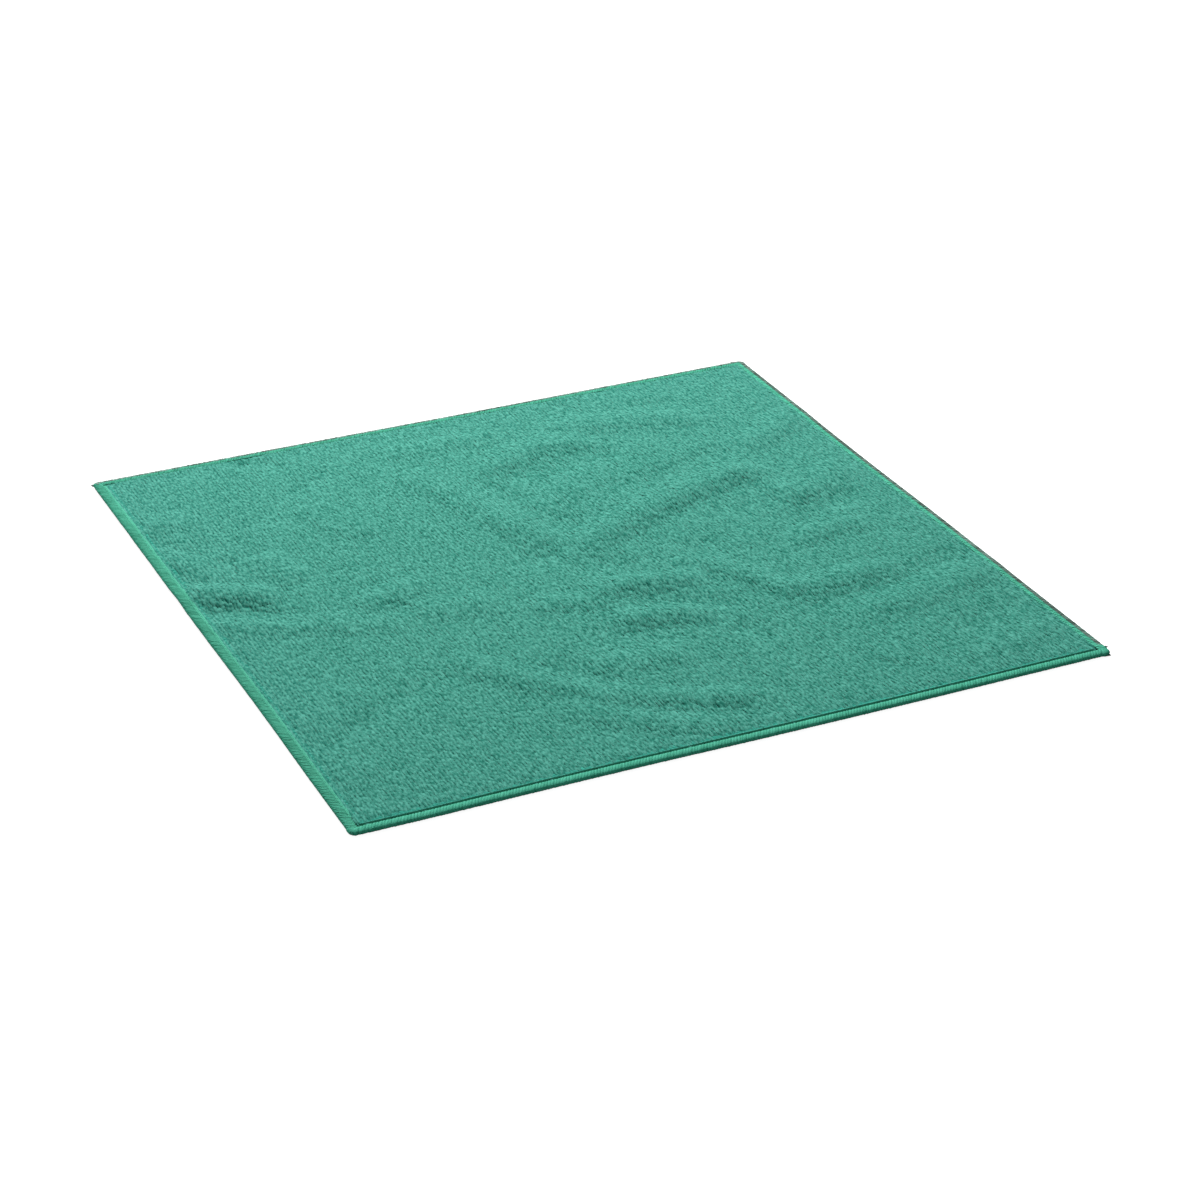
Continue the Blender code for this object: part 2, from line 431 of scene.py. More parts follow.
def yarn_material(name, dye, fibres, bump, roughness, gloss, sheen):
    """A material whose colour and bump come from the two groups. sheen is (weight, spread)."""
    material = bpy.data.materials.new(name)
    material.use_nodes = True
    tree = material.node_tree
    shader = tree.nodes["Principled BSDF"]
    shade = put(tree, "ShaderNodeAttribute", attribute_name="shade", attribute_type="GEOMETRY")
    dye = {**dye, "Shade": shade.outputs["Fac"]}
    colour = output_of(tree, "ShaderNodeGroup", dye, node_tree=DYED_YARN)
    height = output_of(tree, "ShaderNodeGroup", fibres, node_tree=FINE_FIBRES)
    bumped = {"Strength": bump, "Distance": FIBRE_RELIEF, "Height": height}
    normal = output_of(tree, "ShaderNodeBump", bumped)
    tree.links.new(colour, shader.inputs["Base Color"])
    tree.links.new(normal, shader.inputs["Normal"])
    finish = {
        "Roughness": roughness,
        "Metallic": 0.0,
        "Specular IOR Level": gloss,
        "Sheen Weight": sheen[0],
        "Sheen Roughness": sheen[1],
        "Sheen Tint": SHEEN_TINT,
    }
    set_inputs(shader, finish)
    print("material:", name)
    return material


LOOP_YARN = yarn_material(
    "loop yarn",
    dye={
        "Dark": (0.001, 0.112, 0.079, 1),
        "Light": (0.055, 0.259, 0.201, 1),
        "Shade Share": 0.35,
        "Area Size": 10 * MM,
        "Area Share": 0.1,
        "Speck Size": 0.95 * MM,
        "Speck Share": 2.5,
        "Stretch": (1.0, 2.2, 1.0),
    },
    fibres={"Fibre Size": 0.25 * MM, "Stretch": (1.0, 3.0, 1.0)},
    bump=0.25,
    roughness=0.92,
    gloss=0.1,
    sheen=(0.2, 0.35),
)
OVERLOCK_THREAD = yarn_material(
    "overlock thread",
    dye={
        "Dark": (0.012, 0.215, 0.130, 1),
        "Light": (0.042, 0.320, 0.210, 1),
        "Shade Share": 0.5,
        "Area Size": 6 * MM,
        "Area Share": 0.5,
        "Speck Size": 0.8 * MM,
        "Speck Share": 0.4,
    },
    fibres={"Fibre Size": 0.2 * MM},
    bump=0.35,
    roughness=0.75,
    gloss=0.12,
    sheen=(0.05, 0.4),
)
# painted shadow: this nearly grey thread also draws the thin dark line along the right and the
# back side, where the far edges only have shade
LOOPER_THREAD_AND_PAINTED_SHADOW = yarn_material(
    "looper thread and painted shadow",
    dye={
        "Dark": (0.030, 0.055, 0.042, 1),
        "Light": (0.190, 0.290, 0.250, 1),
        "Shade Share": 0.7,
        "Area Size": 20 * MM,
        "Area Share": 1.0,
        "Speck Size": 0.8 * MM,
        "Speck Share": 0.2,
    },
    fibres={"Fibre Size": 0.2 * MM},
    bump=0.2,
    roughness=0.9,
    gloss=0.15,
    sheen=(0.0, 0.4),
)

# %% [markdown]
# The ground is seen between the loops and from below, where it shows its knit: rows of small
# humps, one for each stitch, in wales 1.56 mm apart. Two sine waves multiplied together are
# enough for that, because a knit is so regular. They are added to the fibres' height.

# %% The knit ground's material
WALE_PITCH = 1.56  # mm from one row of loops to the next, along X
COURSE_PITCH = 2.2  # mm from one loop to the next in its wale, along Y
HUMP_HEIGHT = 1.6  # how high a hump of the knit is, next to the fibres on it


def hump_wave(tree, coordinate, pitch):
    """A wave from 0 to 1 along one coordinate, which is in metres, with a pitch in mm."""
    turns = math_of(tree, "MULTIPLY", coordinate, math.pi / (pitch * MM))
    return math_of(tree, "ABSOLUTE", math_of(tree, "SINE", turns))


def knit_ground_material():
    """Darker dyed yarn with the humps of the knit in its bump."""
    material = yarn_material(
        "knit ground",
        dye={
            "Dark": (0.002, 0.150, 0.108, 1),
            "Light": (0.030, 0.270, 0.200, 1),
            "Shade Share": 0.0,
            "Area Size": 14 * MM,
            "Area Share": 0.5,
            "Speck Size": 0.9 * MM,
            "Speck Share": 0.8,
        },
        fibres={"Fibre Size": 0.3 * MM, "Stretch": (1.0, 2.0, 1.0)},
        bump=0.8,
        roughness=0.95,
        gloss=0.1,
        sheen=(0.1, 0.4),
    )
    tree = material.node_tree
    where = put(tree, "ShaderNodeTexCoord").outputs["Object"]
    place_of = put(tree, "ShaderNodeSeparateXYZ", {0: where}).outputs
    wales = hump_wave(tree, place_of["X"], WALE_PITCH)
    courses = hump_wave(tree, place_of["Y"], COURSE_PITCH)
    humps = math_of(tree, "MULTIPLY", wales, courses)
    bump = next(node for node in tree.nodes if node.type == "BUMP")
    fibres = bump.inputs["Height"].links[0].from_socket
    both = math_of(tree, "MULTIPLY_ADD", humps, HUMP_HEIGHT, fibres)
    tree.links.new(both, bump.inputs["Height"])
    return material


KNIT_GROUND = knit_ground_material()

# %% [markdown]
# ## The sheet
# The cloth itself is a closed sheet: a fine grid for its face, another for its underside, and a
# ladder of rings between them that makes the overlocked rim with its groove. A plane with a
# Solidify modifier would be quicker, but it can't give the groove and the round rim. The field
# lies a little lower than in the CAD model, because the loops will stand on it.
# Along the front side the needle's thread is pulled tight: the groove is deep, and the knit
# swells to a lip beside it. Along the other three sides both are eased, so they hardly show.

# %% Rings of the rim
LOOP_STAND = 0.42  # how much of the knit's thickness the loops take up, in mm
KNIT_THICK = 2.0
GROUND = KNIT_THICK - LOOP_STAND
FIELD_INSET = 6.0  # the field of plain knit starts this far inside the outline
CELLS = 160  # squares of the grid along one side of the field
EASE_START = 6.0  # along a side, the rim stays tight up to this far from the front
EASE_RUN = 6.0  # and is fully eased after this much more

# From the lip over the groove and the roll of thread to the underside, in mm. The height is the
# one at the front side, and "eased" is added to it at the others.
RimPoint = namedtuple("RimPoint", "inset height eased", defaults=(0.0,))
RIM = (
    RimPoint(inset=5.5, height=1.85, eased=-0.35),
    RimPoint(inset=5.15, height=1.80, eased=-0.35),
    RimPoint(inset=5.0, height=0.50, eased=1.00),
    RimPoint(inset=4.0, height=0.50, eased=1.00),
    RimPoint(inset=3.3, height=1.20, eased=0.35),
    RimPoint(inset=2.1, height=1.60),
    RimPoint(inset=0.9, height=1.55),
    RimPoint(inset=0.4, height=1.20),
    RimPoint(inset=0.7, height=0.35),
    RimPoint(inset=1.6, height=0.05),
)
SHEET_MATERIALS = (KNIT_GROUND, OVERLOCK_THREAD, LOOP_YARN)
KNIT, THREAD, YARN = 0, 1, 2  # their numbers in the mesh
BANDS = (YARN,) * 2 + (THREAD,) * 8 + (KNIT,)  # between one ring and the next, from the field


def eased_share(y):
    """0 along the front side, where the needle's thread is pulled tight, and 1 elsewhere."""
    return np.clip((y + SIDE / 2 - EASE_START) / EASE_RUN, 0, 1)


# %% Build the sheet
def square_ring():
    """Places once round a square from its front left corner, as (across, up) from -1 to 1."""
    steps = np.linspace(-1, 1, CELLS + 1)[:-1]
    ones = np.ones(CELLS)
    across = np.concatenate([steps, ones, -steps, -ones])
    up = np.concatenate([-ones, steps, ones, -steps])
    return across, up


def grid_quads(index):
    """The quads of a grid of vertex numbers, facing up."""
    corners = (index[:-1, :-1], index[:-1, 1:], index[1:, 1:], index[1:, :-1])
    return np.stack(corners, axis=-1).reshape(-1, 4)


def border_of(index):
    """The outer vertex numbers of a grid, in the order of square_ring()."""
    front, right = index[0, :-1], index[:-1, -1]
    back, left = index[-1, :0:-1], index[:0:-1, 0]
    return np.concatenate([front, right, back, left])


def sheet_mesh():
    """The closed sheet: knit in the fields, the loops' yarn on the lip, thread on the rim."""
    steps = np.linspace(-1, 1, CELLS + 1) * (SIDE / 2 - FIELD_INSET)
    x, y = np.meshgrid(steps, steps)
    across, up = square_ring()
    points = [place(x, y, GROUND, thinned=1.0).reshape(-1, 3)]
    top = np.arange(x.size).reshape(x.shape)
    rings = [border_of(top)]
    used = x.size
    for spot in RIM:
        reach = SIDE / 2 - spot.inset
        height = spot.height + spot.eased * eased_share(up * reach)
        points.append(place(across * reach, up * reach, height))
        rings.append(np.arange(used, used + across.size))
        used += across.size
    points.append(place(x, y, 0.0).reshape(-1, 3))
    underside = np.arange(used, used + x.size).reshape(x.shape)
    rings.append(border_of(underside))
    faces = [grid_quads(top), grid_quads(underside)[:, ::-1]]
    worn = [np.full(len(part), KNIT) for part in faces]
    for slot, ring, outer in zip(BANDS, rings, rings[1:]):
        band = np.stack([ring, outer, np.roll(outer, -1), np.roll(ring, -1)], axis=-1)
        faces.append(band)
        worn.append(np.full(len(band), slot))
    mesh = bpy.data.meshes.new("knit_sheet")
    mesh.from_pydata(np.concatenate(points).tolist(), [], np.concatenate(faces).tolist())
    for material in SHEET_MATERIALS:
        mesh.materials.append(material)
    mesh.polygons.foreach_set("material_index", np.concatenate(worn))
    shade = mesh.attributes.new("shade", "FLOAT", "POINT")
    shade.data.foreach_set("value", np.full(len(mesh.vertices), 0.5))
    mesh.shade_smooth()
    return mesh


def show(name, mesh):
    """Puts a mesh into the scene as an object of that name, and prints its triangles."""
    piece = bpy.data.objects.new(name, mesh)
    mesh.name = name
    bpy.context.scene.collection.objects.link(piece)
    triangles = sum(len(face.vertices) - 2 for face in mesh.polygons)
    print(f"{name}: {triangles} triangles")
    return piece


knit_sheet = show("knit_sheet", sheet_mesh())

# %% [markdown]
# ## The loops, with Geometry Nodes
# Terry has a loop of yarn in every stitch, about 28,000 on this face, and each reads as a short,
# plump stroke along its wale. A particle system could scatter them, but they must stand in rows,
# so Geometry Nodes put one on each vertex of a carrier grid that lies on the folds, turned, leaned
# and sized a little by chance. With so many, few faces have to be enough: a loop is a ball of 24
# triangles, laid down along its wale and pulled long. Its ends are shaded flat, because smooth
# shading on so few faces turns the tips dark, like cracks between the loops.

# %% Carriers: a grid with one vertex for each loop
PILE_LEFT = 5.1  # the first wale is this far inside the outline
PILE_RIGHT = 4.5  # the last wale covers the groove of the right side
PILE_FRONT = 7.7  # a wale's first loop is this far inside the outline
PILE_BACK = 4.6  # its last loop covers the groove of the back side
PANELS = 4  # the face is made in this many pieces, side by side
WALES = int((SIDE - PILE_LEFT - PILE_RIGHT) / WALE_PITCH) + 1
COURSES = int((SIDE - PILE_FRONT - PILE_BACK) / COURSE_PITCH) + 1
WALE_STAGGER = 0.25  # of a course: odd wales stand this much behind, even ones before
TIDY_WALES_END = -30.0  # wales are straight at the left edge and loosen up to this X
SHOULDER_DROP = 0.3  # the outermost loops at the left and the front sit this much lower
SHOULDER_START = 10.0  # the loops begin to sink this far inside the outline
SHOULDER_RUN = 5.0  # they have sunk all the way after this much more


def shoulder(x, y):
    """How far the loops at (x, y) are pulled down towards the rim at the left and the front."""
    inset = SIDE / 2 + np.minimum(x, y)
    return SHOULDER_DROP * np.clip((SHOULDER_START - inset) / SHOULDER_RUN, 0, 1)


def loop_carrier(first, last):
    """A grid mesh on the folds whose columns are the wales from first up to last."""
    wale_x = np.linspace(PILE_LEFT - SIDE / 2, SIDE / 2 - PILE_RIGHT, WALES)[first:last]
    course_y = np.linspace(PILE_FRONT - SIDE / 2, SIDE / 2 - PILE_BACK, COURSES)
    x, y = np.meshgrid(wale_x, course_y)
    odd = np.arange(first, last) % 2
    y = y + np.where(odd, WALE_STAGGER, -WALE_STAGGER) * COURSE_PITCH
    points = place(x, y, GROUND - shoulder(x, y), thinned=1.0).reshape(-1, 3)
    index = np.arange(x.size).reshape(x.shape)
    mesh = bpy.data.meshes.new("loop carrier")
    mesh.from_pydata(points.tolist(), [], grid_quads(index).tolist())
    tidy = np.clip((TIDY_WALES_END - x) / (TIDY_WALES_END + SIDE / 2), 0, 1)
    mesh.attributes.new("tidy", "FLOAT", "POINT").data.foreach_set("value", tidy.ravel())
    return mesh


print(f"{WALES} wales of {COURSES} loops: {WALES * COURSES} loops")

# %% [markdown]
# The trees of this lesson work alike: a carrier mesh goes in, a small part is set on each of its
# points, and one mesh with a material comes out. The steps that they share are written once.
# grown() runs a tree and keeps the result as a plain mesh, so that nothing is left to be worked
# out again.

# %% Helpers for Geometry Nodes
def geometry_tree(name, sizes):
    """A Geometry Nodes tree with a Geometry input, named sizes, a Seed and a Material."""
    inputs = [("Geometry", "NodeSocketGeometry", None), *sizes]
    inputs += [("Seed", "NodeSocketInt", 0), ("Material", "NodeSocketMaterial", None)]
    outputs = [("Geometry", "NodeSocketGeometry", None)]
    tree, given, made = new_tree(name, "GeometryNodeTree", inputs, outputs)
    tree.is_modifier = True
    return tree, given, made


def chance(tree, given, turn, low, high):
    """Random vectors between low and high, different for each point and for each turn."""
    seed = math_of(tree, "ADD", given["Seed"], turn)
    inputs = {0: (low,) * 3, 1: (high,) * 3, "Seed": seed}
    return output_of(tree, "FunctionNodeRandomValue", inputs, data_type="FLOAT_VECTOR")


def varied(tree, given, turn, spread):
    """Random vectors up to one of the tree's spreads, to both sides of 0."""
    return vector_of(tree, "MULTIPLY", chance(tree, given, turn, -1.0, 1.0), given[spread])


def stored(tree, geometry, name, value, kind, domain):
    """Stores a named attribute on the geometry."""
    inputs = {"Geometry": geometry, "Name": name, "Value": value}
    node = "GeometryNodeStoreNamedAttribute"
    return output_of(tree, node, inputs, data_type=kind, domain=domain)


def set_out(tree, given, turn, points, part, rotation):
    """Sets a part on each point, with a size and a shade by chance."""
    scale = vector_of(tree, "ADD", varied(tree, given, turn, "Size Spread"), (1.0, 1.0, 1.0))
    inputs = {"Points": points, "Instance": part, "Rotation": rotation, "Scale": scale}
    parts = output_of(tree, "GeometryNodeInstanceOnPoints", inputs)
    shades = chance(tree, given, turn + 1, 0.0, 1.0)
    shade = output_of(tree, "ShaderNodeSeparateXYZ", {0: shades})
    return stored(tree, parts, "shade", shade, "FLOAT", "INSTANCE")


def finish_tree(tree, given, made, parts):
    """Gives the parts their material and sends them out of the tree."""
    inputs = {"Geometry": parts, "Material": given["Material"]}
    tree.links.new(output_of(tree, "GeometryNodeSetMaterial", inputs), made["Geometry"])
    return tree


def grown(name, carrier, tree, sizes):
    """Runs a tree on a carrier mesh and shows the result as a plain mesh."""
    holder = bpy.data.objects.new("carrier", carrier)
    bpy.context.scene.collection.objects.link(holder)
    modifier = holder.modifiers.new("grow", "NODES")
    modifier.node_group = tree
    for socket in tree.interface.items_tree:
        if socket.in_out == "INPUT" and socket.name in sizes:
            modifier[socket.identifier] = sizes[socket.name]
    depsgraph = bpy.context.evaluated_depsgraph_get()
    mesh = bpy.data.meshes.new_from_object(
        holder.evaluated_get(depsgraph), preserve_all_data_layers=True, depsgraph=depsgraph
    )
    holder.modifiers.remove(modifier)
    bpy.data.objects.remove(holder)
    bpy.data.meshes.remove(carrier)
    return show(name, mesh)


# %% The tree that grows loops
PLOTS = 90  # each loop gets its own plot on a map of this many rows and columns
PLOT_SHARE = 0.96  # the part of a plot that its loop fills
END_START = 0.3  # a ball of radius 1 is shaded flat beyond this, to both sides of its middle

LOOP_SIZES = (
    ("Width", NUMBER, 2.45 * MM),
    ("Length", NUMBER, 5.2 * MM),
    ("Height", NUMBER, 0.42 * MM),
    ("Stand", NUMBER, 0.06 * MM),
    ("Upward Pull", NUMBER, 0.0),
    ("Size Spread", VECTOR, (0.2, 0.25, 0.06)),
    ("Place Spread", VECTOR, (0.26 * MM, 0.7 * MM, 0.018 * MM)),
    ("Lean Spread", VECTOR, (0.01, 0.11, 0.14)),
    ("Tidiness", NUMBER, 0.6),
)


def loop_shape(tree, given):
    """One ball, laid down along Y, smooth but for its ends, in the size of a loop."""
    ball = {"Segments": 6, "Rings": 3, "Radius": 1.0}
    ball = put(tree, "GeometryNodeMeshUVSphere", ball).outputs
    mapped = stored(tree, ball["Mesh"], "OFBake", ball["UV Map"], "FLOAT2", "CORNER")
    poles_along_y = (math.radians(90), math.radians(30), 0.0)
    laid = {"Geometry": mapped, "Rotation": poles_along_y}
    laid = output_of(tree, "GeometryNodeTransform", laid)
    place_of = output_of(tree, "GeometryNodeInputPosition")
    y = put(tree, "ShaderNodeSeparateXYZ", {0: place_of}).outputs["Y"]
    test = {0: math_of(tree, "ABSOLUTE", y), 1: END_START}
    at_an_end = output_of(
        tree, "FunctionNodeCompare", test, data_type="FLOAT", operation="GREATER_THAN"
    )
    smooth = output_of(tree, "GeometryNodeSetShadeSmooth", {0: laid})
    flat = {0: smooth, "Selection": at_an_end, "Shade Smooth": False}
    shaded = output_of(tree, "GeometryNodeSetShadeSmooth", flat, domain="FACE")
    halves = [math_of(tree, "MULTIPLY", given[key], 0.5) for key in ("Width", "Length", "Height")]
    size = output_of(tree, "ShaderNodeCombineXYZ", dict(enumerate(halves)))
    return output_of(tree, "GeometryNodeTransform", {"Geometry": shaded, "Scale": size})


def loop_stance(tree, given):
    """How a loop is moved off its vertex, and how it is turned, the less so in tidy wales."""
    node = "GeometryNodeInputNamedAttribute"
    tidy = output_of(tree, node, {"Name": "tidy"}, data_type="FLOAT")
    kept = math_of(tree, "MULTIPLY", tidy, given["Tidiness"])
    wild = math_of(tree, "SUBTRACT", 1.0, kept)
    normal = output_of(tree, "GeometryNodeInputNormal")
    pull = output_of(tree, "ShaderNodeCombineXYZ", {2: given["Upward Pull"]})
    normal = vector_of(tree, "NORMALIZE", vector_of(tree, "ADD", normal, pull))
    raised = vector_of(tree, "SCALE", normal, given["Stand"])
    sideways = output_of(tree, "ShaderNodeCombineXYZ", {0: wild, 1: 1.0, 2: 1.0})
    strayed = vector_of(tree, "MULTIPLY", varied(tree, given, 1, "Place Spread"), sideways)
    offset = vector_of(tree, "ADD", raised, strayed)
    upright = output_of(tree, "FunctionNodeAlignRotationToVector", {"Vector": normal}, axis="Z")
    lean = vector_of(tree, "SCALE", varied(tree, given, 2, "Lean Spread"), wild)
    both = {0: upright, 1: output_of(tree, "FunctionNodeEulerToRotation", {0: lean})}
    turned = output_of(tree, "FunctionNodeRotateRotation", both, rotation_space="LOCAL")
    return offset, turned


def on_own_plots(tree, pile):
    """Moves each loop's own map into a plot of its own, on one map for all the loops."""
    node = "GeometryNodeInputNamedAttribute"
    own_map, own_plot = (
        output_of(tree, node, {"Name": name}, data_type="FLOAT_VECTOR")
        for name in ("OFBake", "plot")
    )
    spot = vector_of(tree, "ADD", vector_of(tree, "SCALE", own_map, PLOT_SHARE), own_plot)
    spot = vector_of(tree, "SCALE", spot, 1 / PLOTS)
    pile = stored(tree, pile, "OFBake", spot, "FLOAT2", "CORNER")
    return output_of(tree, "GeometryNodeRemoveAttribute", {"Geometry": pile, "Name": "plot"})


def loop_tree():
    """One plump loop on each vertex, turned, leaned and sized by chance."""
    tree, given, made = geometry_tree("terry loops", LOOP_SIZES)
    offset, turned = loop_stance(tree, given)
    moved = {"Geometry": given["Geometry"], "Offset": offset}
    moved = output_of(tree, "GeometryNodeSetPosition", moved)
    pile = set_out(tree, given, 3, moved, loop_shape(tree, given), turned)
    number = output_of(tree, "GeometryNodeInputIndex")
    column = math_of(tree, "MODULO", number, PLOTS)
    row = math_of(tree, "FLOOR", math_of(tree, "DIVIDE", number, PLOTS))
    plot = output_of(tree, "ShaderNodeCombineXYZ", {0: column, 1: row})
    pile = stored(tree, pile, "plot", plot, "FLOAT_VECTOR", "INSTANCE")
    pile = output_of(tree, "GeometryNodeRealizeInstances", {0: pile})
    return finish_tree(tree, given, made, on_own_plots(tree, pile))


# %% Grow the loops, panel by panel
loops = loop_tree()
bounds_of_panels = np.linspace(0, WALES, PANELS + 1).astype(int)
pile_panels = [
    grown(
        f"pile_{number + 1}",
        loop_carrier(first, last),
        loops,
        {"Seed": 10 * number + 5, "Material": LOOP_YARN},
    )
    for number, (first, last) in enumerate(zip(bounds_of_panels, bounds_of_panels[1:]))
]

# %% [markdown]
# ## The overlock stitches, with Geometry Nodes
# An overlock machine trims the cloth and throws bulky thread round its edge, stitch after stitch.
# Each stitch leaves one slanting wrap over the rim, from the needle's groove round to the
# underside. The tree makes one wrap from an arc with a thick profile, and repeats it along a
# closed path round the cloth. The path is a carrier mesh of edges, with rounded corners, so the
# wraps fan out there as they do on a real cloth.

# %% Paths that run round the cloth
CORNER_RADIUS = 3.1  # of the outline, once the overlocking has drawn it in
CORNER_STITCHES = 6
STITCH_PITCH = 1.25
STITCH_INSET = 1.9  # the middle of a wrap is this far inside the outline
STITCH_HEIGHT = 1.4  # and this far above the underside
FAR_BAND = 3.0  # the stitches of a side are closer than this to its outline
CHAIN_START = 6.0  # the painted shadow line of the looper's thread starts this far behind the front side


def edge_path():
    """A closed line round the cloth, through the middle of the wraps, one vertex for each."""
    reach = SIDE / 2 - STITCH_INSET
    radius = CORNER_RADIUS - STITCH_INSET
    count = round(2 * (reach - radius) / STITCH_PITCH)
    straight = np.linspace(-reach + radius, reach - radius, count, endpoint=False)
    turn = np.radians(np.linspace(-90, 0, CORNER_STITCHES, endpoint=False))
    x = np.concatenate([straight, reach - radius + radius * np.cos(turn)])
    y = np.concatenate([np.full(count, -reach), -reach + radius + radius * np.sin(turn)])
    sides_x = np.concatenate([x, -y, -x, y])
    sides_y = np.concatenate([y, x, -y, -x])
    waved_x, waved_y = wave_shift(sides_x, sides_y)
    z = lift(sides_x, sides_y) + STITCH_HEIGHT
    points = np.stack([sides_x + waved_x, sides_y + waved_y, z], axis=-1) * MM
    count = len(points)
    edges = [(here, (here + 1) % count) for here in range(count)]
    mesh = bpy.data.meshes.new("edge path")
    mesh.from_pydata(points.tolist(), edges, [])
    return mesh


def far_sides(path):
    """The part of a path that runs along the right and the back side."""
    inner = (SIDE / 2 - FAR_BAND) * MM
    front = (CHAIN_START - SIDE / 2) * MM
    mesh = bmesh.new()
    mesh.from_mesh(path)
    near = [v for v in mesh.verts if v.co.y < front or max(v.co.x, v.co.y) < inner]
    bmesh.ops.delete(mesh, geom=near)
    mesh.to_mesh(path)
    mesh.free()
    return path


# %% The tree that repeats stitches along a path
STITCH_SIZES = (
    ("Outer Width", NUMBER, 1.8 * MM),
    ("Inner Width", NUMBER, 2.0 * MM),
    ("Upper Height", NUMBER, 0.65 * MM),
    ("Lower Height", NUMBER, 1.2 * MM),
    ("Start Angle", NUMBER, math.radians(-60)),
    ("Sweep Angle", NUMBER, math.radians(220)),
    ("Thickness", NUMBER, 0.28 * MM),
    ("Broadening", NUMBER, 3.2),
    ("Slant", NUMBER, 0.5),
    ("Size Spread", VECTOR, (0.2, 0.02, 0.05)),
)


def two_sided(tree, value, size_above, size_below):
    """A value times one size where it is above 0, and times another where it is below."""
    above = math_of(tree, "MULTIPLY", math_of(tree, "MAXIMUM", value, 0.0), size_above)
    return math_of(tree, "MULTIPLY_ADD", math_of(tree, "MINIMUM", value, 0.0), size_below, above)


def stitch_shape(tree, given):
    """One wrap of thread. X runs along the path, Y into the cloth and Z up."""
    arc = {key: given[key] for key in ("Start Angle", "Sweep Angle")}
    arc = {"Resolution": 9, "Radius": 1.0, **arc}
    arc = output_of(tree, "GeometryNodeCurveArc", arc, mode="RADIUS")
    place_of = output_of(tree, "GeometryNodeInputPosition")
    x, y, z = put(tree, "ShaderNodeSeparateXYZ", {0: place_of}).outputs
    inward = math_of(tree, "MULTIPLY", x, -1.0)
    across = two_sided(tree, inward, given["Inner Width"], given["Outer Width"])
    height = two_sided(tree, y, given["Upper Height"], given["Lower Height"])
    section = output_of(tree, "ShaderNodeCombineXYZ", {1: across, 2: height})
    arc = output_of(tree, "GeometryNodeSetPosition", {"Geometry": arc, "Position": section})
    ring = {"Resolution": 5, "Radius": given["Thickness"]}
    ring = output_of(tree, "GeometryNodeCurvePrimitiveCircle", ring, mode="RADIUS")
    wrap = {"Curve": arc, "Profile Curve": ring, "Fill Caps": True}
    wrap = output_of(tree, "GeometryNodeCurveToMesh", wrap)
    along = math_of(tree, "MULTIPLY", x, given["Broadening"])
    along = math_of(tree, "MULTIPLY_ADD", y, given["Slant"], along)
    shaped = output_of(tree, "ShaderNodeCombineXYZ", {0: along, 1: y, 2: z})
    wrap = output_of(tree, "GeometryNodeSetPosition", {"Geometry": wrap, "Position": shaped})
    return output_of(tree, "GeometryNodeSetShadeSmooth", {0: wrap})


def stitch_tree():
    """Wraps of thread along a path, each sized by chance."""
    tree, given, made = geometry_tree("overlock stitches", STITCH_SIZES)
    path = output_of(tree, "GeometryNodeMeshToCurve", {0: given["Geometry"]})
    spots = put(tree, "GeometryNodeCurveToPoints", {"Curve": path}, mode="EVALUATED").outputs
    align = "FunctionNodeAlignRotationToVector"
    forward = output_of(tree, align, {"Vector": spots["Tangent"]}, axis="X")
    upright = {"Rotation": forward, "Vector": (0.0, 0.0, 1.0)}
    upright = output_of(tree, align, upright, axis="Z", pivot_axis="X")
    wraps = set_out(tree, given, 1, spots["Points"], stitch_shape(tree, given), upright)
    wraps = output_of(tree, "GeometryNodeRealizeInstances", {0: wraps})
    return finish_tree(tree, given, made, wraps)


# %% Sew the overlock
stitches = stitch_tree()
overlock = grown("overlock", edge_path(), stitches, {"Seed": 3, "Material": OVERLOCK_THREAD})

# %% [markdown]
# The threads of two loopers make the wraps and meet on the outside of the rim. A thin, greyer line
# of the looper's thread along the right and the back side is painted shadow: it darkens the far
# edges, where they only have a thin line of shade. The same tree makes it, from a thinner arc that
# only covers the outside, on a path that is cut down to those sides.

# %% Lay the painted shadow line of the looper's thread
# painted shadow: a thin dark line of thread along the right and the back edge
painted_shadow_chain = grown(
    "painted_shadow_chain",
    far_sides(edge_path()),
    stitches,
    {
        "Outer Width": 1.92 * MM,
        "Upper Height": 0.78 * MM,
        "Start Angle": math.radians(0),
        "Sweep Angle": math.radians(100),
        "Thickness": 0.23 * MM,
        "Seed": 4,
        "Material": LOOPER_THREAD_AND_PAINTED_SHADOW,
    },
)

# %% [markdown]
# The needle's own thread runs in the groove just inside the rim, as a line of short stitches. It
# is the same kind of tree with a smaller part, so the loops' tree can make it: a long, thin loop
# on each vertex of a path. Its carrier only needs one vertex for each stitch. A mesh without faces
# has normals that point away from its middle, so a strong upward pull turns them up.

# %% The needle's line in the groove
NEEDLE_PITCH = 2.5
NEEDLE_INSET = 4.5
NEEDLE_START = 1.5  # the first stitch is at least this far from the end of its line
NEEDLE_STOP = 1.0  # and so is the last one
NEEDLE_HEIGHT = 0.45
NEEDLE_EASED = 0.95  # it lies this much higher on the other three sides


def needle_carriers():
    """Four rows of vertices in the groove: two along Y, and two along X."""
    reach = SIDE / 2 - NEEDLE_INSET
    steps = np.arange(-reach + NEEDLE_START, reach - NEEDLE_STOP, NEEDLE_PITCH)
    fixed = np.full(steps.size, reach)
    rows = {
        "along_y": (np.concatenate([fixed, -fixed]), np.concatenate([steps, steps])),
        "along_x": (np.concatenate([steps, steps]), np.concatenate([fixed, -fixed])),
    }
    for name, (x, y) in rows.items():
        mesh = bpy.data.meshes.new("needle carrier")
        height = NEEDLE_HEIGHT + NEEDLE_EASED * eased_share(y)
        mesh.from_pydata(place(x, y, height).tolist(), [], [])
        yield name, mesh


